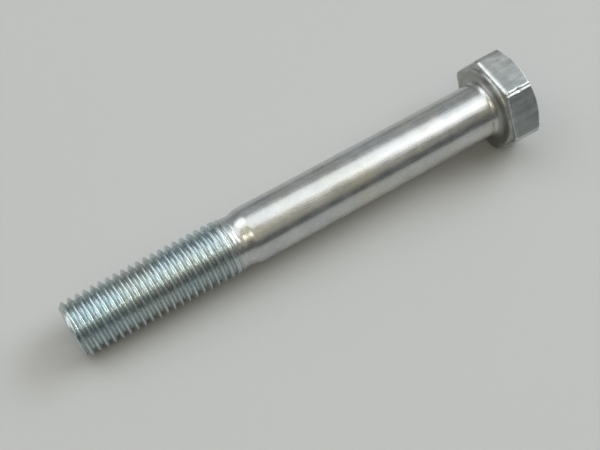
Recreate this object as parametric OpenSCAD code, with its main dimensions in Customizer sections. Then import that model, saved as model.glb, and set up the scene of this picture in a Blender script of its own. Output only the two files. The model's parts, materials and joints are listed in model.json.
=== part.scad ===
// Hexagon head bolt with a plain shank and a fine right-hand thread, zinc plated.
// It lies on a table as it comes to rest: on one flat of its head and on the thread near the tip.
// +X points along the bolt to the head, +Z is up, the table is at z = 0,
// and the origin is the middle of the bolt's outline on the table.

/* [Head] */
// Width across the flats of the hexagon
head_flats = 12.5; // [11.5:0.1:13.5]
// Height of the head, from the bearing face to the top
head_height = 5.0; // [4.4:0.1:6.5]
// Diameter that the corners of the hexagon are rounded to
corner_dia = 14.0; // [13.8:0.1:15.6]
// Diameter of the flat circle that the chamfer leaves on top
chamfer_dia = 11.3; // [9.5:0.1:11.4]
// Slope of the chamfer on top, in degrees
chamfer_angle = 30; // [20:1:40]
// How far the rounding along the lower edge of each flat goes in
edge_round = 0.3; // [0.15:0.05:0.5]
// How far up the flat that rounding starts
edge_reach = 0.6; // [0.3:0.05:1]
// Diameter of the washer face under the head
washer_face_dia = 11.8; // [10.5:0.1:12]
// Thickness of the washer face
washer_face_height = 0.35; // [0.2:0.05:0.7]
// Fillet between the shank and the washer face
neck_fillet = 1.1; // [0.3:0.05:1.3]

/* [Shank] */
// Length from the bearing face to the tip
length = 63.5; // [45:0.5:90]
// Diameter of the plain shank
shank_dia = 7.85; // [7.6:0.05:8.2]
// Length of the cone between the thread and the shank
shoulder_length = 1.8; // [0.8:0.1:3]

/* [Thread] */
// Diameter over the crests of the thread
thread_dia = 7.82; // [7.4:0.02:7.82]
// Distance from one crest to the next
thread_pitch = 1.058; // [0.9:0.001:1.3]
// Depth of the groove
thread_depth = 0.62; // [0.45:0.01:0.65]
// Length of full thread, from the tip
thread_length = 21.4; // [15:0.1:30]
// Length over which the last groove rises out of the surface
run_out = 2.5; // [1:0.1:4]
// Where the crest starts around the bolt, in degrees
thread_start = 180; // [0:5:355]

/* [Tip] */
// Diameter of the flat end
tip_dia = 6.5; // [5.4:0.1:6.9]
// Slope of the chamfer at the tip, measured from the axis, in degrees
tip_angle = 45; // [30:1:60]

/* [Hidden] */
// Facets of the round faces, and of the thread in one turn
$fn = 96;
thread_facets = 36;
// Segments in the rounding of a head edge
edge_steps = 4;
// Overlap where two shapes are joined
join = 0.5;

zinc = [0.74, 0.75, 0.74];

crest_r = thread_dia / 2;
root_r = crest_r - thread_depth;
shank_r = shank_dia / 2;
tip_r = tip_dia / 2;
// Thread profile: half of the crest's flat, and the run of one flank at 30 degrees
crest_half = thread_pitch / 16;
flank_run = min(thread_depth * tan(30), thread_pitch / 2 - 2 * crest_half);
// Places along the bolt, measured from the tip
chamfer_end = (crest_r - tip_r) / tan(tip_angle);
thread_end = thread_length + run_out;
shoulder_end = thread_end + shoulder_length;
// The neck where the thread ends lies midway between crests and grooves
neck_r = crest_r - thread_depth / 2;

// Lowest full crest near the tip, which the bolt rests on
rest_phase = 270 / 360 + thread_start / 360;
rest_crest = thread_pitch * (rest_phase + ceil(chamfer_end / thread_pitch - rest_phase));
// The other point of rest is the start of the rounding on the lowest flat of the head
rest_edge = washer_face_height + edge_reach;
rest_tilt = atan((head_flats / 2 - crest_r) / (rest_edge + length - rest_crest));
lift = head_flats / 2 * cos(rest_tilt) - rest_edge * sin(rest_tilt);
// The origin is midway between the two ends of the outline
reach_head = head_height * cos(rest_tilt) + chamfer_dia / 2 * sin(rest_tilt);
reach_tip = length * cos(rest_tilt) + tip_r * sin(rest_tilt);
shift = (reach_tip - reach_head) / 2;

// A point of the thread: t from the tip, at an angle about the axis, at radius r
function ring_point(t, angle, r) = [t, r * cos(angle), r * sin(angle)];

// Radius of the groove's floor, which rises to the neck over the run-out
function floor_r(t) =
    root_r + (neck_r - root_r) * min(1, max(0, (t - thread_length) / run_out));

// Radius of the crest, cut by the chamfer at the tip and lowered to the neck over the run-out
function ridge_r(t) =
    min(crest_r - (crest_r - neck_r) * min(1, max(0, (t - thread_length) / run_out)),
        tip_r + t * tan(tip_angle));

// One pitch of the profile as [offset along the axis, is it on the crest]
thread_profile = [
    [-crest_half, true],
    [crest_half, true],
    [crest_half + flank_run, false],
    [thread_pitch - crest_half - flank_run, false]
];

// A right-hand threaded rod along +X with flat ends at 0 and full, made of one row of points per facet
module threaded_rod(full) {
    per_turn = len(thread_profile);
    turns = ceil(full / thread_pitch) + 5;
    rows = turns * per_turn;
    facets = thread_facets;
    // Place along the axis of point i in row j
    place = function(i, j)
        thread_pitch * (j / facets + thread_start / 360 - 3 + floor(i / per_turn))
        + thread_profile[i % per_turn][0];
    radius = function(i, t)
        thread_profile[i % per_turn][1] ? ridge_r(t) : min(floor_r(t), ridge_r(t));
    // Points before the tip gather on the end ring, and points past the end on the other ring
    index = function(i, j)
        let (wrap = j >= facets, jj = wrap ? j - facets : j, ii = wrap ? i + per_turn : i,
             t = place(ii, jj))
        t < 0.01 ? jj :
        t > full - 0.01 ? facets + jj :
        2 * facets + jj * rows + ii;
    points = concat(
        [for (j = [0 : facets - 1]) ring_point(0, 360 * j / facets, tip_r)],
        [for (j = [0 : facets - 1]) ring_point(full, 360 * j / facets, neck_r)],
        [for (j = [0 : facets - 1], i = [0 : rows - 1])
            let (t = place(i, j)) ring_point(t, 360 * j / facets, radius(i, t))]
    );
    sides = [for (j = [0 : facets - 1], i = [0 : rows - 2])
        let (a = index(i, j), b = index(i + 1, j), c = index(i + 1, j + 1), d = index(i, j + 1))
        for (f = [[a, b, c], [a, c, d]])
            if (f[0] != f[1] && f[1] != f[2] && f[0] != f[2]) f];
    ends = [
        [for (j = [0 : facets - 1]) j],
        [for (j = [facets - 1 : -1 : 0]) facets + j]
    ];
    polyhedron(points, concat(sides, ends), convexity = 10);
}

// Threaded end of the bolt, with its tip at x = -length
module thread() {
    translate([-length, 0, 0]) threaded_rod(thread_end + join);
}

// Plain shank with the shoulder towards the thread and the fillet under the head
module shank() {
    rotate([0, 90, 0]) rotate_extrude() difference() {
        polygon([
            [0, thread_end - length],
            [neck_r + 0.01, thread_end - length],
            [shank_r, shoulder_end - length],
            [shank_r, -neck_fillet],
            [shank_r + neck_fillet, -neck_fillet],
            [shank_r + neck_fillet, washer_face_height],
            [0, washer_face_height]
        ]);
        translate([shank_r + neck_fillet, -neck_fillet]) circle(r = neck_fillet);
    }
}

// Round washer face, which bears on the work
module washer_face() {
    rotate([0, 90, 0]) cylinder(d = washer_face_dia, h = washer_face_height + edge_round / 2);
}

// Outline of the head across two flats, with its two lower edges rounded
module flats_outline() {
    half = head_flats / 2;
    arc = [for (k = [0 : edge_steps]) 90 * k / edge_steps];
    polygon(concat(
        [for (a = arc) [half - edge_round + edge_round * sin(a),
                        washer_face_height + edge_reach - edge_reach * cos(a)]],
        [[half, head_height + 1], [-half, head_height + 1]],
        [for (a = arc) [-half + edge_round - edge_round * cos(a),
                        washer_face_height + edge_reach - edge_reach * sin(a)]]
    ));
}

// Hexagon with rounded corners and a chamfered top, lying on one of its flats
module hexagon() {
    chamfer_run = (corner_dia - chamfer_dia) / 2 * tan(chamfer_angle);
    intersection() {
        for_flats(0) flats_outline();
        for_flats(60) flats_outline();
        for_flats(120) flats_outline();
        rotate([0, 90, 0]) rotate_extrude() polygon([
            [0, 0],
            [corner_dia / 2, 0],
            [corner_dia / 2, head_height - chamfer_run],
            [chamfer_dia / 2, head_height],
            [0, head_height]
        ]);
    }
}

// A slab of the head: the outline across one pair of flats, turned about the axis
module for_flats(turn) {
    rotate([turn, 0, 0]) rotate([0, 90, 0]) rotate([90, 0, 0])
        linear_extrude(height = 2 * head_flats, center = true) children();
}

// The whole bolt, one solid piece of plated steel, laid down as it rests
module bolt() {
    color(zinc)
    translate([shift, 0, lift]) rotate([0, -rest_tilt, 0]) union() {
        thread();
        shank();
        washer_face();
        hexagon();
    }
}

bolt();
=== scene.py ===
"""A zinc plated hexagon head bolt, lying on a pale table."""

import json
import logging
import math
from dataclasses import dataclass, field
from enum import Enum
from typing import Any, Callable, Optional, Sequence, Union

import bmesh
import bpy
from mathutils import Matrix, Vector


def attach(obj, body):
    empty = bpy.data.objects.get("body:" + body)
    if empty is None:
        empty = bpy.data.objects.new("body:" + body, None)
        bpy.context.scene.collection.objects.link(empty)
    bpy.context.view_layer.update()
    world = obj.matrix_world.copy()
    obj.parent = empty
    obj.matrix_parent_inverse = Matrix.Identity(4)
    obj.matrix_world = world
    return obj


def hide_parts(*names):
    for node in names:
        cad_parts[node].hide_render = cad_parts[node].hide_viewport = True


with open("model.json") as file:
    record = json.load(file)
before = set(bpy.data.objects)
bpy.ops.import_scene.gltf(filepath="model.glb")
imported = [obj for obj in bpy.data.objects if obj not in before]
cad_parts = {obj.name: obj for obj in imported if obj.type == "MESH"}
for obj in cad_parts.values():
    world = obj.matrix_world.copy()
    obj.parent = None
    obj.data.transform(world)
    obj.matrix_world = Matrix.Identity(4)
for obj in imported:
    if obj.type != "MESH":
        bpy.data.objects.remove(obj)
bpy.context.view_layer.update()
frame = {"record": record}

MM = 0.001
log = logging.getLogger("bolt")

Colour = tuple[float, float, float]
Span = tuple[float, float]


def smooth_step(low: float, high: float, value: float) -> float:
    """Ease from 0 at low to 1 at high.

    Args:
        low: Value where the step starts.
        high: Value where the step ends.
        value: Value to look up.

    Returns:
        A number from 0 to 1.
    """
    part = min(1.0, max(0.0, (value - low) / (high - low)))
    return part * part * (3.0 - 2.0 * part)


def soft_min(first: float, second: float, blend: float) -> float:
    """Return the smaller of two lengths, with a rounded change from one to the other.

    Args:
        first: One length.
        second: The other length.
        blend: How far apart the lengths still round each other off.

    Returns:
        The blended smaller length.
    """
    part = max(0.0, blend - abs(first - second)) / blend
    return min(first, second) - part * part * blend * 0.25


class Zone(Enum):
    """The three differently worked surfaces of the bolt, in the order of its material slots."""

    HEAD = 0
    SHANK = 1
    THREAD = 2


class Wire:
    """An output of a shader node, with arithmetic that adds Math nodes."""

    def __init__(self, shader: "Shader", socket: bpy.types.NodeSocket) -> None:
        """Keep the socket and the shader that it belongs to."""
        self.shader = shader
        self.socket = socket

    def math(self, operation: str, first: Any, second: Any = 0.0) -> "Wire":
        """Add one Math node.

        Args:
            operation: The node's operation.
            first: First value or wire.
            second: Second value or wire.

        Returns:
            The node's output.
        """
        return self.shader.node("ShaderNodeMath", {"operation": operation}, {0: first, 1: second})

    def __add__(self, other: Any) -> "Wire":
        """Add."""
        return self.math("ADD", self, other)

    def __radd__(self, other: Any) -> "Wire":
        """Add, with the wire on the right."""
        return self.math("ADD", other, self)

    def __sub__(self, other: Any) -> "Wire":
        """Subtract."""
        return self.math("SUBTRACT", self, other)

    def __rsub__(self, other: Any) -> "Wire":
        """Subtract, with the wire on the right."""
        return self.math("SUBTRACT", other, self)

    def __mul__(self, other: Any) -> "Wire":
        """Multiply."""
        return self.math("MULTIPLY", self, other)

    def __rmul__(self, other: Any) -> "Wire":
        """Multiply, with the wire on the right."""
        return self.math("MULTIPLY", other, self)

    def between(self, low: float, high: float) -> "Wire":
        """Return the value eased from 0 at low to 1 at high."""
        return self.shader.node(
            "ShaderNodeMapRange",
            {"interpolation_type": "SMOOTHSTEP"},
            {"Value": self, "From Min": low, "From Max": high},
        )


class Shader:
    """A material's node tree, built one node at a time."""

    def __init__(self, name: str) -> None:
        """Start a material with an empty node tree."""
        self.material = bpy.data.materials.new(name)
        self.material.use_nodes = True
        self.tree = self.material.node_tree
        self.tree.nodes.clear()

    def node(
        self,
        kind: str,
        settings: Optional[dict[str, Any]] = None,
        inputs: Optional[dict[Union[int, str], Any]] = None,
        output: Union[int, str] = 0,
    ) -> Wire:
        """Add a node.

        Args:
            kind: The node's type.
            settings: Values of the node's own properties, set first.
            inputs: Values or wires of its sockets, by name or number.
            output: Which output to return.

        Returns:
            The chosen output.
        """
        made = self.tree.nodes.new(kind)
        for key, value in (settings or {}).items():
            setattr(made, key, value)
        for key, value in (inputs or {}).items():
            self.feed(made.inputs[key], value)
        return Wire(self, made.outputs[output])

    def feed(self, socket: bpy.types.NodeSocket, value: Any) -> None:
        """Link a wire to a socket, or set the socket's value."""
        if isinstance(value, Wire):
            self.tree.links.new(value.socket, socket)
        elif isinstance(value, tuple) and socket.type == "RGBA":
            socket.default_value = (*value, 1.0)
        else:
            socket.default_value = value

    def show(self, surface: Wire) -> bpy.types.Material:
        """Link the surface to the material's output, and return the material."""
        out = self.tree.nodes.new("ShaderNodeOutputMaterial")
        self.feed(out.inputs["Surface"], surface)
        return self.material

    def blend(self, share: Any, first: Any, second: Any) -> Wire:
        """Mix two colours.

        Args:
            share: How much of the second colour to take.
            first: First colour or wire.
            second: Second colour or wire.

        Returns:
            The mixed colour.
        """
        # A Mix node keeps its colours in sockets 6 and 7, and the mixed colour in output 2.
        return self.node("ShaderNodeMix", {"data_type": "RGBA"}, {0: share, 6: first, 7: second}, output=2)

    def scaled(self, place: Wire, scale: tuple[float, float, float], turn: float = 0.0) -> Wire:
        """Scale coordinates, and turn them about Y by an angle in radians."""
        return self.node(
            "ShaderNodeMapping",
            {"vector_type": "POINT"},
            {"Vector": place, "Rotation": (0.0, turn, 0.0), "Scale": scale},
        )


@dataclass(frozen=True)
class Pattern:
    """A noise on the bolt's surface.

    It has a number of cells in a millimetre, finer layers of some strength, and is drawn out along the bolt
    where its squeeze is less than 1.
    """

    per_mm: float
    layers: float
    strength: float
    squeeze: float = 1.0

    def lay(self, s: Shader, along: Wire) -> Wire:
        """Add the noise to a shader.

        Args:
            s: The shader.
            along: Coordinates in millimetres, with X along the bolt.

        Returns:
            The noise's value.
        """
        if self.squeeze != 1.0:
            along = s.scaled(along, (self.squeeze, 1.0, 1.0))
        return s.node(
            "ShaderNodeTexNoise",
            {"noise_dimensions": "3D"},
            {"Vector": along, "Scale": self.per_mm, "Detail": self.layers, "Roughness": self.strength},
        )


# Marks in the plating
STAINS = Pattern(per_mm=0.11, layers=2.0, strength=0.5)
SPECKS = Pattern(per_mm=3.1, layers=1.0, strength=0.4)
GRAIN = Pattern(per_mm=9.0, layers=3.0, strength=0.6)
DRAWN_LINES = Pattern(per_mm=6.5, layers=3.0, strength=0.6, squeeze=0.035)
STREAKS = Pattern(per_mm=1.1, layers=3.0, strength=0.6, squeeze=0.2)


@dataclass(frozen=True)
class ZincFinish:
    """Clear zinc plating on steel, for one zone of the bolt.

    A share says how much of a mark is mixed in, and a shade how dark it is against the dull colour. The
    painted shade darkens the colour away from the rubbed edges: on the bearing face, in the corner under the
    head and on the head's flats.
    """

    name: str
    bright: Colour
    dull: Colour
    tint: Colour
    roughness: float
    roughness_spread: float
    line_bump: float
    grain_bump: float
    cloud_mm: float
    stain_share: float = 0.55
    speck_share: float = 0.35
    speck_shade: float = 0.55
    speck_pit: float = 0.3
    streak_share: float = 0.0
    streak_shade: float = 0.5
    # Painted shade, mixed in where the surface is neither rubbed nor lit
    painted_shade_share: float = 0.0
    painted_shade_level: float = 0.35
    polish: float = 0.0
    line_roughness: float = 0.08
    bump_mm: float = 0.01
    fade_mm: Optional[Span] = None
    fade_colour: Colour = (0.57, 0.58, 0.57)

    def shade(self, share: float) -> Colour:
        """The dull colour, darkened to a share of itself."""
        return tuple(share * c for c in self.dull)

    def material(self, tilt: float) -> bpy.types.Material:
        """Make the finish's material.

        Args:
            tilt: How far the bolt's axis rises towards its head, in radians.

        Returns:
            The material.
        """
        s = Shader(self.name)
        place = s.node("ShaderNodeTexCoord", output="Object")
        along = s.scaled(place, (1.0 / MM,) * 3, tilt)
        cloud = Pattern(per_mm=1.0 / self.cloud_mm, layers=4.0, strength=0.55).lay(s, along)
        stains = STAINS.lay(s, along).between(0.42, 0.66)
        specks = SPECKS.lay(s, along).between(0.70, 0.80)
        grain = GRAIN.lay(s, along)
        lines = DRAWN_LINES.lay(s, along)
        rubbed_and_lit = s.node("ShaderNodeAttribute", {"attribute_name": "rubbed_and_lit"}, output="Fac")

        colour = s.blend(cloud.between(0.3, 0.7), self.dull, self.bright)
        colour = s.blend(stains * self.stain_share, colour, self.tint)
        colour = s.blend(specks * self.speck_share, colour, self.shade(self.speck_shade))
        if self.streak_share:
            streaks = STREAKS.lay(s, along).between(0.40, 0.66)
            colour = s.blend(streaks * self.streak_share, colour, self.shade(self.streak_shade))
        # Painted shade: darker where the mask is low, on the bearing face, in the fillet corner and on the
        # head's flats
        colour = s.blend((1.0 - rubbed_and_lit) * self.painted_shade_share, colour, self.shade(self.painted_shade_level))
        # The thread's bluish tint, partly the zinc's own passivation and partly painted reflection of cool
        # light, fades to neutral grey along the bolt
        if self.fade_mm:
            axial = s.node("ShaderNodeSeparateXYZ", {}, {0: along})
            colour = s.blend(axial.between(*self.fade_mm), colour, self.fade_colour)

        roughness = self.roughness + self.roughness_spread * (cloud.between(0.25, 0.75) - 0.5)
        roughness = roughness + self.line_roughness * (lines.between(0.35, 0.65) - 0.5)
        roughness = roughness - rubbed_and_lit * self.polish
        height = lines * self.line_bump + grain * self.grain_bump - specks * self.speck_pit
        relief = {"Strength": 1.0, "Distance": self.bump_mm * MM, "Height": height}
        bump = s.node("ShaderNodeBump", {}, relief)
        surface = s.node(
            "ShaderNodeBsdfPrincipled",
            {},
            {"Base Color": colour, "Metallic": 1.0, "Roughness": roughness, "Normal": bump},
        )
        return s.show(surface)


class Rim:
    """An open rim of the mesh, which grows by one row of faces at a time."""

    def __init__(self, bm: bmesh.types.BMesh, edges: Sequence[bmesh.types.BMEdge]) -> None:
        """Keep the rim's edges."""
        self.bm = bm
        self.edges = list(edges)

    def grow(self, place: Callable[[Vector], Vector], zone: Zone) -> "Rim":
        """Extrude the rim and move the new one.

        Args:
            place: Gives a new vertex its place from that of the vertex it grew from.
            zone: The surface that the new faces belong to.

        Returns:
            The new rim.
        """
        made = bmesh.ops.extrude_edge_only(self.bm, edges=self.edges)["geom"]
        fresh = [g for g in made if isinstance(g, bmesh.types.BMVert)]
        for vert in fresh:
            vert.co = place(vert.co)
            for face in vert.link_faces:
                face.material_index = zone.value
        known = set(fresh)
        edges = {e: None for v in fresh for e in v.link_edges if set(e.verts) <= known}
        return Rim(self.bm, list(edges))

    def to_circle(self, radius: float, height: float, zone: Zone) -> "Rim":
        """Grow to a circle about the axis.

        Args:
            radius: Radius of the circle.
            height: Place along the axis.
            zone: The surface that the new faces belong to.

        Returns:
            The new rim.
        """
        def place(old: Vector) -> Vector:
            """Move out to the circle, straight away from the axis."""
            out = Vector((old.x, old.y, 0.0)).normalized() * radius
            return Vector((out.x, out.y, height))
        return self.grow(place, zone)

    def along(self, path: Sequence[tuple[float, float]], zone: Zone) -> "Rim":
        """Grow through several circles.

        Args:
            path: Radius and height of each circle in turn.
            zone: The surface that the new faces belong to.

        Returns:
            The last rim.
        """
        rim = self
        for radius, height in path:
            rim = rim.to_circle(radius, height, zone)
        return rim

    def close(self, zone: Zone) -> None:
        """Fill the rim with one flat face."""
        made = bmesh.ops.contextual_create(self.bm, geom=self.edges, mat_nr=zone.value)
        for face in made["faces"]:
            face.material_index = zone.value


@dataclass(frozen=True)
class Nick:
    """A small dent in the head, or a raised burr where its depth is negative, in millimetres."""

    place: tuple[float, float, float]
    width: float
    length: float
    depth: float
    vanish: float = 6.0

    def press(self, bm: bmesh.types.BMesh) -> None:
        """Move the vertices around the nick towards the axis.

        Args:
            bm: The mesh of the head.
        """
        middle = Vector(self.place)
        for vert in bm.verts:
            away = vert.co - middle
            near = (math.hypot(away.x, away.y) / self.width) ** 2 + (away.z / self.length) ** 2
            if near < self.vanish:
                flat = Vector((vert.co.x, vert.co.y, 0.0))
                vert.co -= flat.normalized() * self.depth * math.exp(-near)


@dataclass
class Head:
    """The hexagon with its chamfer, and the washer face under it.

    Sizes are in millimetres, and the bearing face is at height 0. The lands are the narrow strips along the
    corners, the brow is the edge between the flats and the chamfer, and the rubbed spans say where the edges
    turn smoother and are kept clear of the painted shade.
    """

    flats: float = 12.5
    height: float = 5.0
    chamfer_dia: float = 11.3
    chamfer_angle: float = 30.0
    corner_dia: float = 14.0
    corner_cut: float = 0.62
    land_blend: float = 0.06
    land_groove: float = 0.035
    land_groove_width: float = 0.08
    brow_gap: float = 0.05
    brow_insets: Span = (0.02, 0.07)
    brow_drop: float = 0.012
    edge_round: float = 0.3
    edge_reach: float = 0.6
    washer_dia: float = 11.8
    washer_height: float = 0.35
    washer_round: Span = (0.18, 0.16)
    bearing_border: float = 0.4
    top_blend: float = 0.045
    top_border: float = 0.6
    top_cap: float = 2.0
    rubbed_radius: Span = (6.5, 6.8)
    rubbed_turn: Span = (3.2, 4.4)
    rubbed_foot: Span = (-0.12, 0.05)
    rubbed_step: float = 0.12
    rubbed_brow: Span = (-0.16, -0.02)
    nicks: tuple[Nick, ...] = (
        Nick(place=(-6.06, -3.50, 2.35), width=0.42, length=0.30, depth=0.075),
        Nick(place=(-6.20, -3.05, 2.55), width=0.30, length=0.16, depth=-0.025),
    )
    side_cuts: int = 21
    land_cuts: int = 22
    wall_rows: int = 34
    round_rows: int = 10
    washer_rows: int = 3

    @property
    def foot(self) -> float:
        """Height where the flats start, above the rounding of their lower edges."""
        return self.washer_height + self.edge_reach

    def chamfer_height(self, radius: float) -> float:
        """Height of the chamfer cone at a radius."""
        return self.height - (radius - self.chamfer_dia / 2) * math.tan(math.radians(self.chamfer_angle))

    def outline(self, bm: bmesh.types.BMesh) -> Rim:
        """Make the hexagon's outline with its corner lands.

        Args:
            bm: The mesh to add to.

        Returns:
            The outline, just above the rounding of the lower edges.
        """
        sharp = bmesh.ops.create_circle(
            bm, cap_ends=True, segments=6, radius=self.flats / math.sqrt(3)
        )["verts"]
        corners = [v.co.to_2d().normalized() for v in sharp]
        bmesh.ops.bevel(
            bm, geom=sharp, offset=self.corner_cut, offset_type="OFFSET", segments=self.land_cuts,
            profile=0.5, affect="VERTICES", material=-1,
        )
        bmesh.ops.delete(bm, geom=bm.faces[:], context="FACES_ONLY")
        for vert in bm.verts:
            vert.co = self.on_land(vert.co, corners)
        sides = [e for e in bm.edges if e.calc_length() > self.flats / 4]
        bmesh.ops.subdivide_edges(bm, edges=sides, cuts=self.side_cuts)
        bmesh.ops.translate(bm, verts=bm.verts[:], vec=(0, 0, self.foot))
        return Rim(bm, bm.edges[:])

    def on_land(self, old: Vector, corners: Sequence[Vector]) -> Vector:
        """Move a corner's vertex on to its land, a narrow strip with a faint groove along its middle.

        Args:
            old: The vertex's place.
            corners: Directions of the six corners.

        Returns:
            The vertex's new place.
        """
        flat = old.to_2d()
        way = max(corners, key=flat.dot)
        across = way.orthogonal()
        aside = flat.dot(across)
        sharp = self.flats / math.sqrt(3) - abs(aside) * math.tan(math.radians(30.0))
        reach = soft_min(sharp, self.corner_dia / 2, self.land_blend)
        reach -= self.land_groove * math.exp(-((aside / self.land_groove_width) ** 2))
        place = way * reach + across * aside
        return Vector((place.x, place.y, old.z))

    def build(self, bm: bmesh.types.BMesh) -> Rim:
        """Build the head.

        Args:
            bm: The mesh to add to.

        Returns:
            The rim at the inner edge of the bearing face.
        """
        wall = self.outline(bm)
        self.build_top(wall)
        inner = self.build_underside(wall)
        self.expose(bm)
        for nick in self.nicks:
            nick.press(bm)
        return inner

    def expose(self, bm: bmesh.types.BMesh) -> None:
        """Mark the edges of the hexagon, which are rubbed smoother than its flats. Away from them, on the
        flats and under the head, the colour gets painted shade.

        Args:
            bm: The mesh of the head.
        """
        layer = bm.verts.layers.float["rubbed_and_lit"]
        for vert in bm.verts:
            radius = math.hypot(vert.co.x, vert.co.y)
            turn = (math.degrees(math.atan2(vert.co.y, vert.co.x)) + 30.0) % 60.0
            corner = smooth_step(*self.rubbed_radius, radius)
            corner *= 1.0 - smooth_step(*self.rubbed_turn, min(turn, 60.0 - turn))
            foot = 1.0 - smooth_step(*self.rubbed_foot, vert.co.z - self.foot)
            foot *= smooth_step(0.0, self.rubbed_step, vert.co.z - self.washer_height)
            brow = smooth_step(*self.rubbed_brow, vert.co.z - self.chamfer_height(radius))
            vert[layer] = max(corner, foot, brow)

    def build_top(self, wall: Rim) -> None:
        """Grow the wall up to the chamfer, and close the top.

        Args:
            wall: The outline at the foot of the wall.
        """
        rim = wall
        rows = self.wall_rows
        for row in range(1, rows + 1):
            def raise_wall(old: Vector, left: int = rows - row + 1) -> Vector:
                """Go up by one of the rows that are left below the chamfer."""
                top = self.chamfer_height(math.hypot(old.x, old.y)) - self.brow_gap
                return Vector((old.x, old.y, old.z + (top - old.z) / left))
            rim = rim.grow(raise_wall, Zone.HEAD)
        for inset in self.brow_insets:
            def ease(old: Vector, inset: float = inset) -> Vector:
                """Turn over the edge on to the chamfer."""
                radius = math.hypot(old.x, old.y)
                part = 1.0 - inset / radius
                height = self.chamfer_height(radius - inset) - self.brow_drop
                return Vector((old.x * part, old.y * part, height))
            rim = rim.grow(ease, Zone.HEAD)
        top_r = self.chamfer_dia / 2
        path = [
            (top_r + step, soft_min(self.height, self.chamfer_height(top_r + step), self.top_blend))
            for step in (self.top_blend * 2, 0.0, -self.top_blend * 2)
        ]
        path += [(top_r - self.top_border, self.height), (self.top_cap, self.height)]
        rim.along(path, Zone.HEAD).close(Zone.HEAD)
        log.info("head wall from %.2f mm, chamfer to %.2f mm", self.foot, self.height)

    def build_underside(self, wall: Rim) -> Rim:
        """Round the lower edges of the flats, and add the washer face.

        Args:
            wall: The outline at the foot of the wall.

        Returns:
            The rim at the inner edge of the bearing face.
        """
        rim = wall
        half = self.flats / 2
        last = half
        for row in range(1, self.round_rows + 1):
            turn = math.radians(90.0 * row / self.round_rows)
            reach = half - self.edge_round * (1 - math.cos(turn))
            depth = self.foot - self.edge_reach * math.sin(turn)

            def tuck(old: Vector, ratio: float = reach / last, depth: float = depth) -> Vector:
                """Follow the rounding inwards."""
                return Vector((old.x * ratio, old.y * ratio, depth))
            rim = rim.grow(tuck, Zone.HEAD)
            last = reach
        edge = self.washer_dia / 2
        inwards, upwards = self.washer_round
        path = [(edge, self.washer_height)]
        for row in range(self.washer_rows + 1):
            turn = math.radians(90.0 * row / self.washer_rows)
            path.append((edge - inwards * (1 - math.cos(turn)), upwards * (1 - math.sin(turn))))
        path.append((edge - self.bearing_border, 0.0))
        return rim.along(path, Zone.HEAD)


@dataclass
class Shank:
    """The plain shank, from the fillet under the head to the shoulder at the thread, in millimetres."""

    dia: float = 7.85
    fillet: float = 1.1
    fillet_rows: int = 12
    rows: int = 8
    shoulder: float = 1.8
    shoulder_rows: int = 20
    neck_gap: float = 0.08
    corner_span: Span = (0.05, 0.25)

    def build(self, rim: Rim, thread: "Thread") -> None:
        """Grow the shank from the bearing face to just short of the neck, where the thread ends.

        Args:
            rim: The inner rim of the bearing face.
            thread: The thread that the shank runs into.
        """
        radius = self.dia / 2
        path = []
        for row in range(self.fillet_rows + 1):
            turn = math.radians(90.0 * row / self.fillet_rows)
            path.append((radius + self.fillet * (1 - math.sin(turn)), -self.fillet * (1 - math.cos(turn))))
        rim = rim.along(path, Zone.SHANK)
        foot = thread.end + self.shoulder - thread.length
        step = (foot + self.fillet) / self.rows
        rim = rim.along([(radius, -self.fillet + step * k) for k in range(1, self.rows + 1)], Zone.SHANK)
        fall = radius - thread.neck_r
        for row in range(1, self.shoulder_rows + 1):
            part = row / self.shoulder_rows
            reach = radius - fall * smooth_step(0, 1, part)
            rim = rim.to_circle(reach, foot - (self.shoulder - self.neck_gap) * part, Zone.SHANK)
        self.expose(rim.bm)

    def expose(self, bm: bmesh.types.BMesh) -> None:
        """Mark all of the shank but the corner under the head, which gets painted shade.

        Args:
            bm: The mesh of the shank and the head.
        """
        layer = bm.verts.layers.float["rubbed_and_lit"]
        for vert in bm.verts:
            if vert.co.z < 0.0:
                away = math.hypot(vert.co.x, vert.co.y) - self.dia / 2
                vert[layer] = 1.0 - smooth_step(*self.corner_span, away)


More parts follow.
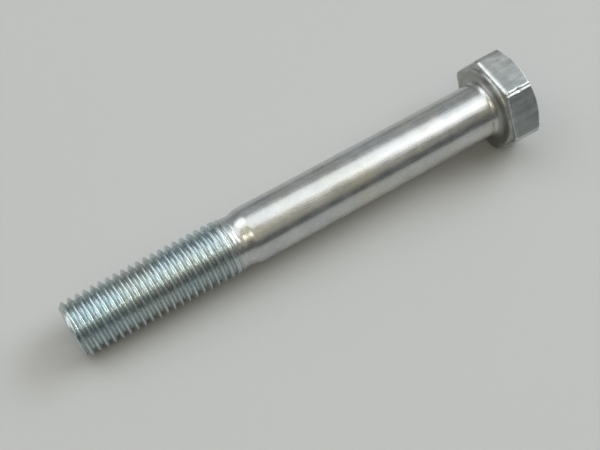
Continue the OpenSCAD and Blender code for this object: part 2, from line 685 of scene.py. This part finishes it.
@dataclass
class Thread:
    """The rolled right-hand thread and the chamfered tip, in millimetres.

    The length is that of the bolt under its head. The helix is rolled with some spare turns and cut to
    length. The spans of the run-out are measured from the end of the full thread. There the crests open
    along a seam, the grooves rise, and all fades into the neck.
    """

    length: float = 63.5
    dia: float = 7.82
    pitch: float = 1.058
    depth: float = 0.62
    crest_round: float = 0.12
    root_round: float = 0.15
    flank_slope: float = 60.0
    full: float = 21.4
    run_out: float = 2.5
    start: float = 180.0
    tip_dia: float = 6.5
    tip_angle: float = 45.0
    tip_round: float = 0.29
    tip_rows: int = 3
    tip_cut: float = 0.1
    tip_blend: float = 0.12
    end_border: float = 0.5
    end_cap: float = 1.2
    groove_start: Span = (0.15, 0.7)
    groove_lift: float = 0.30
    lift_span: Span = (-1.9, 2.4)
    seam: float = 0.08
    seam_span: Span = (-4.0, -0.5)
    seam_width: float = 0.045
    seam_spread: float = 0.10
    spread_span: Span = (-1.0, 1.9)
    fade_start: float = 0.2
    sharp_blend: float = 0.002
    worn_blend: float = 0.05
    facets: int = 120
    arc_steps: int = 4
    flank_steps: int = 4
    spare_turns: tuple[int, int] = (3, 2)
    weld_turns: float = 0.002
    weld_cuts: float = 0.004

    @property
    def crest_r(self) -> float:
        """Radius over the crests."""
        return self.dia / 2

    @property
    def neck_r(self) -> float:
        """Radius where the last groove has run out, midway between crests and grooves."""
        return self.crest_r - self.depth / 2

    @property
    def end(self) -> float:
        """Place from the tip where the last groove has run out."""
        return self.full + self.run_out

    def profile(self) -> list[Vector]:
        """Draw half a pitch of the section: a rounded crest, a straight flank and a rounded groove.

        Returns:
            Offset along the axis and fall below the crest, from the middle of a crest to that of a groove.
        """
        slope = math.radians(self.flank_slope)
        turns = [slope * k / self.arc_steps for k in range(self.arc_steps + 1)]
        floor = Vector((self.pitch / 2, self.depth))
        root = [floor - self.root_round * Vector((math.sin(a), 1.0 - math.cos(a))) for a in reversed(turns)]
        crest = [self.crest_round * Vector((math.sin(a), 1.0 - math.cos(a))) for a in turns]
        drop = root[0] - crest[-1]
        shift = Vector((drop.x - drop.y / math.tan(slope), 0.0))
        crest = [point + shift for point in crest]
        flank = [crest[-1].lerp(root[0], k / self.flank_steps) for k in range(1, self.flank_steps)]
        return [Vector((0.0, 0.0)), *crest, *flank, *root]

    def one_pitch(self) -> list[tuple[float, float, float]]:
        """Section between two crests: offset along the axis, fall below the crest, distance to a crest."""
        half = [tuple(point) for point in self.profile()]
        there = [(u, fall, u) for u, fall in half]
        back = [(self.pitch - u, fall, u) for u, fall in reversed(half[:-1])]
        return there + back

    def build(self, bm: bmesh.types.BMesh) -> None:
        """Roll the thread as a helix, cut it to length, shape its ends and close the tip.

        Args:
            bm: An empty mesh for the thread, which stays open at the neck.
        """
        rubbed_and_lit = bm.verts.layers.float.new("rubbed_and_lit")
        aside = bm.verts.layers.float.new("aside")
        before, after = self.spare_turns
        first = self.pitch * (self.start / 360 - before) - self.length
        row = []
        for offset, fall, away in self.one_pitch():
            vert = bm.verts.new((0, self.crest_r - fall, first + offset))
            vert[rubbed_and_lit] = 1.0 - fall / self.depth
            vert[aside] = away
            row.append(vert)
        edges = [bm.edges.new(pair) for pair in zip(row, row[1:])]
        bmesh.ops.spin(
            bm, geom=row + edges, cent=(0, 0, 0), axis=(0, 0, 1), dvec=(0, 0, self.pitch / self.facets),
            angle=math.tau, steps=self.facets, use_merge=False, use_duplicate=False,
        )
        turns = 1
        while turns * self.pitch < self.end + (before + after) * self.pitch:
            copy = bmesh.ops.duplicate(bm, geom=bm.verts[:] + bm.edges[:] + bm.faces[:])["geom"]
            fresh = [g for g in copy if isinstance(g, bmesh.types.BMVert)]
            bmesh.ops.translate(bm, verts=fresh, vec=(0, 0, turns * self.pitch))
            turns *= 2
        bmesh.ops.remove_doubles(bm, verts=bm.verts[:], dist=self.weld_turns)
        for height, away in ((self.tip_cut - self.length, -1), (self.end - self.length, 1)):
            bmesh.ops.bisect_plane(
                bm, geom=bm.verts[:] + bm.edges[:] + bm.faces[:], dist=1e-5,
                plane_co=(0, 0, height), plane_no=(0, 0, away), clear_outer=True,
            )
        bmesh.ops.remove_doubles(bm, verts=bm.verts[:], dist=self.weld_cuts)
        for face in bm.faces:
            face.material_index = Zone.THREAD.value
        for vert in bm.verts:
            self.shape(vert, vert[rubbed_and_lit], vert[aside])
        middle = self.end / 2 - self.length
        self.close_tip(Rim(bm, [e for e in bm.edges if e.is_boundary and e.verts[0].co.z < middle]))
        log.info("thread of %d faces", len(bm.faces))

    def shape(self, vert: bmesh.types.BMVert, crest: float, aside: float) -> None:
        """Give a vertex its radius, with the groove's run-out, the open crests there and the tip's chamfer.

        Args:
            vert: The vertex.
            crest: Share of the groove's depth that the vertex stands above its floor.
            aside: Distance of the vertex from the middle of the crest.
        """
        from_tip = vert.co.z + self.length
        past = from_tip - self.full
        fade = smooth_step(self.fade_start, self.run_out, past)
        open_crest = smooth_step(*self.seam_span, past) * (1.0 - fade)
        groove = self.crest_r - self.depth * (1.0 - crest) * smooth_step(*self.groove_start, from_tip)
        groove += self.groove_lift * smooth_step(*self.lift_span, past)
        width = self.seam_width + self.seam_spread * smooth_step(*self.spread_span, past)
        land = self.crest_r - (self.crest_r - self.neck_r) * fade
        land -= self.seam * open_crest * math.exp(-((aside / width) ** 2))
        radius = soft_min(groove, land, self.sharp_blend + self.worn_blend * max(open_crest, fade))
        cone = self.tip_dia / 2 + from_tip * math.tan(math.radians(self.tip_angle))
        radius = soft_min(radius, cone, self.tip_blend)
        flat = Vector((vert.co.x, vert.co.y, 0.0)).normalized() * radius
        vert.co = Vector((flat.x, flat.y, vert.co.z))

    def close_tip(self, rim: Rim) -> None:
        """Round the end's rim and close the flat end.

        Args:
            rim: The rim at the tip.
        """
        radius = self.tip_dia / 2
        base = -self.length
        turn = math.radians(90.0 - self.tip_angle)
        inner = radius - self.tip_round * math.tan(turn / 2)
        path = []
        for row in range(1, self.tip_rows + 1):
            left = turn * (1 - row / self.tip_rows)
            rise = self.tip_round * (1 - math.cos(left))
            path.append((inner + self.tip_round * math.sin(left), base + rise))
        path += [(radius - self.end_border, base), (self.end_cap, base)]
        rim.along(path, Zone.THREAD).close(Zone.THREAD)


@dataclass
class Bolt:
    """The whole bolt, one piece, laid where the model's bearing face is."""

    head: Head = field(default_factory=Head)
    shank: Shank = field(default_factory=Shank)
    thread: Thread = field(default_factory=Thread)

    def lie(self) -> Matrix:
        """Matrix from the bolt's own millimetres, with its axis along Z, to the shared frame."""
        mount = next(m for m in frame["record"]["mounts"] if m["name"] == "bearing_face")
        along = -Vector(mount["axis"]).normalized()
        side = Vector((0.0, 1.0, 0.0))
        turn = Matrix((-along.cross(side), side, along)).transposed().to_4x4()
        return Matrix.Translation(mount["pos_m"]) @ turn @ Matrix.Scale(MM, 4)

    def build(self) -> bpy.types.Object:
        """Build the bolt's mesh and dress it.

        Returns:
            The finished object.
        """
        bm = bmesh.new()
        self.thread.build(bm)
        body = bmesh.new()
        body.verts.layers.float.new("rubbed_and_lit")
        body.verts.layers.float.new("aside")
        self.shank.build(self.head.build(body), self.thread)
        part = bpy.data.meshes.new("body")
        body.to_mesh(part)
        body.free()
        bm.from_mesh(part)
        bpy.data.meshes.remove(part)
        bmesh.ops.bridge_loops(bm, edges=[e for e in bm.edges if e.is_boundary])
        bmesh.ops.recalc_face_normals(bm, faces=bm.faces[:])
        open_edges = sum(1 for e in bm.edges if not e.is_manifold)
        for face in bm.faces:
            face.smooth = True
        bmesh.ops.transform(bm, matrix=self.lie(), verts=bm.verts[:])
        mesh = bpy.data.meshes.new("plated_bolt")
        bm.to_mesh(mesh)
        log.info("bolt of %d faces, %d open edges", len(bm.faces), open_edges)
        bm.free()
        piece = bpy.data.objects.new("plated_bolt", mesh)
        bpy.context.collection.objects.link(piece)
        piece.modifiers.new("even_normals", "WEIGHTED_NORMAL")
        self.dress(piece)
        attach(piece, "root")
        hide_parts("bolt")
        return piece

    def dress(self, piece: bpy.types.Object) -> None:
        """Give each zone its finish.

        Args:
            piece: The bolt's object.
        """
        along = self.lie().col[2].to_3d()
        tilt = math.atan2(along.z, along.x)
        for zone in Zone:
            piece.data.materials.append(FINISHES[zone].material(tilt))


FINISHES = {
    Zone.HEAD: ZincFinish(
        name="zinc_head", bright=(0.63, 0.66, 0.66), dull=(0.50, 0.53, 0.53), tint=(0.58, 0.58, 0.52),
        roughness=0.36, roughness_spread=0.10, line_bump=0.15, grain_bump=0.5, cloud_mm=1.6,
        # painted shade on the head's flats and underside
        painted_shade_share=0.40, polish=0.10, streak_share=0.42,
    ),
    Zone.SHANK: ZincFinish(
        name="zinc_shank", bright=(0.62, 0.63, 0.62), dull=(0.52, 0.53, 0.53), tint=(0.58, 0.56, 0.48),
        roughness=0.35, roughness_spread=0.06, line_bump=0.22, grain_bump=0.25, cloud_mm=2.5,
        # painted shade in the corner under the head
        painted_shade_share=0.60, polish=0.08,
    ),
    # Bluish colours: partly the zinc's own blue passivation, partly painted reflection of cool light between
    # the flanks
    Zone.THREAD: ZincFinish(
        name="zinc_thread", bright=(0.57, 0.66, 0.68), dull=(0.46, 0.54, 0.56), tint=(0.55, 0.56, 0.52),
        roughness=0.28, roughness_spread=0.06, line_bump=0.0, grain_bump=0.1, cloud_mm=1.2,
        fade_mm=(-13.5, -10.2),
    ),
}


@dataclass
class Table:
    """The plain pale table under the bolt. Sizes in metres."""

    size: float = 8.0
    colour: Colour = (0.45, 0.45, 0.445)
    roughness: float = 0.75

    def build(self) -> bpy.types.Object:
        """Lay the table's top at the height of the bolt's lowest point.

        Returns:
            The table's object.
        """
        bm = bmesh.new()
        bmesh.ops.create_grid(bm, x_segments=2, y_segments=2, size=self.size / 2)
        mesh = bpy.data.meshes.new("table")
        bm.to_mesh(mesh)
        bm.free()
        top = bpy.data.objects.new("table", mesh)
        bpy.context.collection.objects.link(top)
        s = Shader("table_top")
        looks = {"Base Color": self.colour, "Roughness": self.roughness}
        surface = s.node("ShaderNodeBsdfPrincipled", {}, looks)
        mesh.materials.append(s.show(surface))
        return top


# Colours of the lamps
WHITE = (1.0, 1.0, 1.0)
COOL = (0.94, 0.98, 1.0)
COLD = (0.90, 0.98, 1.0)
CREAM = (1.0, 0.94, 0.90)
WARM = (1.0, 0.93, 0.70)


@dataclass
class Softbox:
    """One soft lamp, a rectangle turned to the bolt or straight down. Sizes in metres."""

    name: str
    place: tuple[float, float, float]
    size: Span
    radiance: float
    colour: Colour = WHITE
    aim: tuple[float, float, float] = (0.0, 0.0, 0.0)
    yaw: float = 0.0

    @classmethod
    def overhead(
        cls,
        name: str,
        along: Span,
        across: Span,
        radiance: float,
        colour: Colour = WHITE,
        yaw: float = math.radians(-40.0),
        height: float = 0.8,
    ) -> "Softbox":
        """Make a level lamp that is part of the row overhead.

        Args:
            name: The lamp's name.
            along: Where it starts and ends along the row.
            across: Where it starts and ends across the row.
            radiance: How bright its face is, where 1 is white.
            colour: Its colour.
            yaw: How far the row is turned about Z, in radians.
            height: Height of the row over the table.

        Returns:
            The lamp.
        """
        middle = Matrix.Rotation(yaw, 3, "Z") @ Vector((sum(along) / 2, sum(across) / 2, height))
        size = (along[1] - along[0], across[1] - across[0])
        return cls(name, tuple(middle), size, radiance, colour, (middle.x, middle.y, 0.0), yaw)

    def build(self) -> bpy.types.Object:
        """Hang the lamp.

        Returns:
            The lamp's object.
        """
        data = bpy.data.lights.new(self.name, "AREA")
        data.shape = "RECTANGLE"
        data.size, data.size_y = self.size
        data.energy = self.radiance * math.pi * data.size * data.size_y
        data.color = self.colour
        lamp = bpy.data.objects.new(self.name, data)
        way = Vector(self.aim) - Vector(self.place)
        turn = Matrix.Rotation(self.yaw, 4, "Z") @ way.to_track_quat("-Z", "Y").to_matrix().to_4x4()
        lamp.matrix_world = Matrix.Translation(self.place) @ turn
        bpy.context.collection.objects.link(lamp)
        return lamp


@dataclass
class Studio:
    """The soft light around the bolt: lamps overhead and at the sides, in dim surroundings."""

    surround: Colour = (0.11, 0.115, 0.12)
    lamps: tuple[Softbox, ...] = (
        Softbox.overhead("key", (0.25, 0.53), (-0.03, 0.525), 2.0),
        Softbox.overhead("key_right", (0.53, 0.80), (-0.11, 0.525), 2.0),
        Softbox.overhead("key_middle", (-0.3, 0.25), (-0.06, 0.525), 1.35, COOL),
        Softbox.overhead("key_left", (-1.2, -0.3), (-0.06, 0.525), 1.9, COOL),
        Softbox.overhead("far", (-1.2, 1.5), (0.525, 1.1), 0.26),
        Softbox.overhead("farther", (-1.2, 1.5), (1.1, 3.2), 0.17),
        Softbox.overhead("fill_left", (-1.2, 0.5), (-0.95, -0.06), 0.46, WARM),
        Softbox.overhead("fill_near", (0.5, 1.25), (-0.35, -0.06), 0.12, WARM),
        Softbox.overhead("fill", (0.5, 0.9), (-1.3, -0.35), 0.34, WARM),
        Softbox.overhead("fill_right", (0.9, 1.25), (-1.3, -0.35), 0.27, WARM),
        Softbox.overhead("fill_end", (1.25, 1.6), (-1.3, -0.35), 0.12, WARM),
        Softbox("left_above", (-0.6, 0.15, 0.77), (0.36, 0.55), 1.7, (0.92, 0.98, 1.0), (-0.6, 0.15, 0.0)),
        Softbox("left", (-1.2, 0.50, 0.25), (0.74, 0.48), 1.9, CREAM),
        Softbox("right", (1.2, 0.02, 0.92), (1.0, 0.55), 6.0, COLD),
        Softbox("right_back", (1.2, 0.75, 0.65), (0.8, 0.7), 0.8, COLD),
        Softbox("back", (0.6, 2.4, 0.62), (3.2, 1.2), 0.17, COLD),
        Softbox("warm", (-0.56, -0.44, 0.50), (0.3, 0.3), 0.9, (1.0, 0.90, 0.66)),
        Softbox("beside_camera", (-0.20, -0.38, 0.68), (0.10, 0.10), 13.0, (1.0, 0.94, 0.80)),
    )

    def build(self) -> None:
        """Set the surroundings and hang the lamps."""
        world = bpy.data.worlds.new("studio")
        world.use_nodes = True
        ground = world.node_tree.nodes["Background"]
        ground.inputs["Color"].default_value = (*self.surround, 1.0)
        ground.inputs["Strength"].default_value = 1.0
        bpy.context.scene.world = world
        for lamp in self.lamps:
            lamp.build()


@dataclass
class Portrait:
    """The camera, at the photograph's angle. Place and lens in millimetres, angles in degrees.

    The heading is measured from +Y towards +X, and the tilt downwards from the level.
    """

    place: tuple[float, float, float] = (-37.15, -61.94, 117.07)
    heading: float = 30.39
    tilt: float = 58.33
    roll: float = -1.15
    lens: float = 60.24
    sensor: float = 36.0
    sight: Span = (5.0, 20000.0)

    def build(self) -> bpy.types.Object:
        """Set up the camera.

        Returns:
            The camera's object.
        """
        data = bpy.data.cameras.new("portrait")
        data.sensor_width = self.sensor
        data.sensor_fit = "HORIZONTAL"
        data.lens = self.lens
        data.clip_start, data.clip_end = (MM * reach for reach in self.sight)
        camera = bpy.data.objects.new("portrait", data)
        turns = ((-self.heading, "Z"), (90.0 - self.tilt, "X"), (self.roll, "Z"))
        camera.matrix_world = Matrix.Translation(Vector(self.place) * MM)
        for angle, axis in turns:
            camera.matrix_world @= Matrix.Rotation(math.radians(angle), 4, axis)
        bpy.context.collection.objects.link(camera)
        bpy.context.scene.camera = camera
        return camera


def main() -> None:
    """Build the bolt, its table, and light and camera."""
    logging.basicConfig(level=logging.INFO, format="%(name)s: %(message)s")
    bpy.context.scene.view_settings.view_transform = "Standard"
    piece = Bolt().build()
    log.info("made %s", piece.name)
    Table().build()
    Studio().build()
    Portrait().build()
    log.info("sizes written")


if __name__ == "__main__":
    main()
